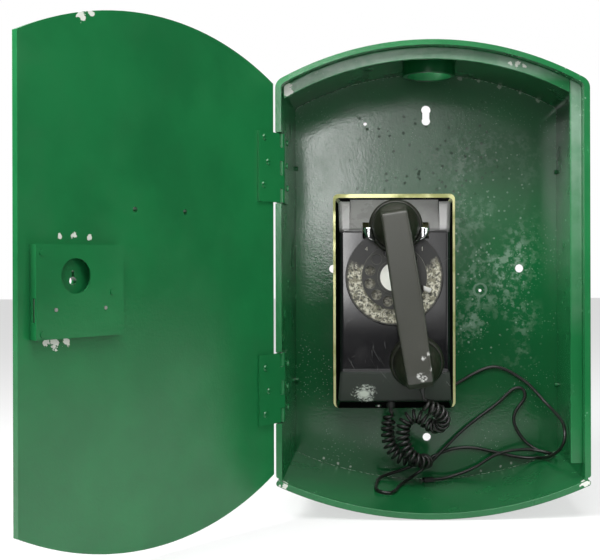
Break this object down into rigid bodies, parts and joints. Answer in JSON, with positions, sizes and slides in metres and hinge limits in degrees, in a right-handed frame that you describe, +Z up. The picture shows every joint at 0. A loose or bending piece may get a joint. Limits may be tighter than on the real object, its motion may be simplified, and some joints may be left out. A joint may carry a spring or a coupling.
{
  "type": "encased wall telephone",
  "caption": "Dial telephone with handset on a hook, mounted in a thick steel wall case with an arched top, curved floor and hinged locking door.",
  "frame": {"origin": "centre of the case's flat back face, at half the height of the side walls", "axes": "+X to the right seen from the room, -Y out of the wall towards the room, +Z up"},
  "size_m": [0.4926, 0.4064, 0.4834],
  "materials": {
    "green_paint": "gloss enamel, brushed on",
    "yellow_zinc": "yellow passivated zinc plate",
    "bright_steel": "zinc plated",
    "chrome": "bright plated",
    "black_plastic": "polished, lightly scuffed",
    "grey_plastic": "worn satin",
    "worn_enamel": "stained and flaked",
    "dark_enamel": "satin black",
    "white_card": "paper card",
    "brown_laminate": "phenolic board",
    "brass": "machined",
    "copper_wire": "enamelled winding",
    "bell_metal": "plated",
    "cord_jacket": "satin",
    "black_rubber": "moulded"
  },
  "bodies": {
    "case": {"case_wall": "green_paint", "back_plate": "green_paint", "bottom_plate": "green_paint", "top_stop": "green_paint", "side_stop": "green_paint", "conduit_hub": "green_paint", "wall_studs": "green_paint", "upper_case_leaf": "green_paint", "lower_case_leaf": "green_paint", "hinge_pins": "bright_steel", "case_leaf_screws": "green_paint", "base_plate": "yellow_zinc", "base_spacers": "yellow_zinc", "mounting_screws": "bright_steel", "housing": "black_plastic", "housing_screw": "bright_steel", "cord_grommet": "black_rubber", "number_plate": "worn_enamel", "finger_stop": "bright_steel", "dial_frame": "bright_steel", "dial_spring": "bright_steel", "dial_contacts": "brown_laminate", "hook_bracket": "yellow_zinc", "hook_pin": "bright_steel", "hook_spring": "bright_steel", "hook_contacts": "brown_laminate", "ringer_frame": "yellow_zinc", "ringer_coil": "copper_wire", "left_gong": "bell_metal", "right_gong": "bell_metal", "gong_screws": "bright_steel", "network_block": "brown_laminate", "terminal_screws": "brass", "line_clamp": "black_rubber", "line_cord": "cord_jacket", "cord_connector": "black_rubber", "handset_cord": "cord_jacket"},
    "door": {"door_plate": "green_paint", "upper_door_leaf": "green_paint", "lower_door_leaf": "green_paint", "door_leaf_screws": "green_paint", "lock_case": "green_paint", "lock_guide_pins": "bright_steel", "lock_screws": "green_paint"},
    "bolt": {"lock_bolt": "bright_steel"},
    "dial": {"finger_wheel": "dark_enamel", "dial_card": "white_card", "card_ring": "dark_enamel", "dial_shaft": "bright_steel", "main_gear": "brass"},
    "pinion": {"pulse_pinion": "brass"},
    "governor": {"dial_governor": "brass"},
    "hook": {"hook_lever": "chrome"},
    "ringer": {"clapper": "bright_steel"},
    "handset": {"handset_handle": "grey_plastic", "ear_cap": "grey_plastic", "mouth_cap": "grey_plastic", "receiver_unit": "bright_steel", "transmitter_unit": "bright_steel", "cord_boot": "black_rubber"}
  },
  "joints": [
    {"name": "door_swing", "type": "hinge", "parent": "case", "child": "door", "pos_m": [-0.1541, -0.158, 0], "axis": [0, 0, 1], "range_deg": [-50, 125.6]},
    {"name": "bolt_slide", "type": "slide", "parent": "door", "child": "bolt", "axis": [-0.5821, -0.8131, 0], "range_m": [0, 0.012]},
    {"name": "dial_turn", "type": "hinge", "parent": "case", "child": "dial", "pos_m": [-0.0378, -0.0705, 0.0012], "axis": [0, 1, 0], "range_deg": [0, 325], "stiffness_Nm_per_rad": 0.006, "springref_deg": -114.59},
    {"name": "pinion_turn", "type": "hinge", "parent": "case", "child": "pinion", "pos_m": [-0.0648, -0.053, 0.0012], "axis": [0, 1, 0], "range_deg": [-1788, 0]},
    {"name": "governor_turn", "type": "hinge", "parent": "case", "child": "governor", "pos_m": [-0.06736, -0.05, -0.01083], "axis": [0, 1, 0], "range_deg": [0, 3576]},
    {"name": "hook_rise", "type": "hinge", "parent": "case", "child": "hook", "pos_m": [-0.03627, -0.026, 0.048], "axis": [-1, 0, 0], "range_deg": [0, 5], "stiffness_Nm_per_rad": 0.1, "springref_deg": 34.38},
    {"name": "clapper_swing", "type": "hinge", "parent": "case", "child": "ringer", "pos_m": [-0.035, -0.026, -0.066], "axis": [0, 1, 0], "range_deg": [-2.7, 2.7]},
    {"name": "handset_lift", "type": "slide", "parent": "case", "child": "handset", "axis": [0, 0, 1], "range_m": [0, 0.022], "deforming": ["handset_cord"]}
  ],
  "couplings": [
    {"joint": "pinion_turn", "follows": "dial_turn", "ratio": -5.5},
    {"joint": "governor_turn", "follows": "dial_turn", "ratio": 11},
    {"joint": "hook_rise", "follows": "handset_lift", "rad_per_m": 3.966}
  ]
}
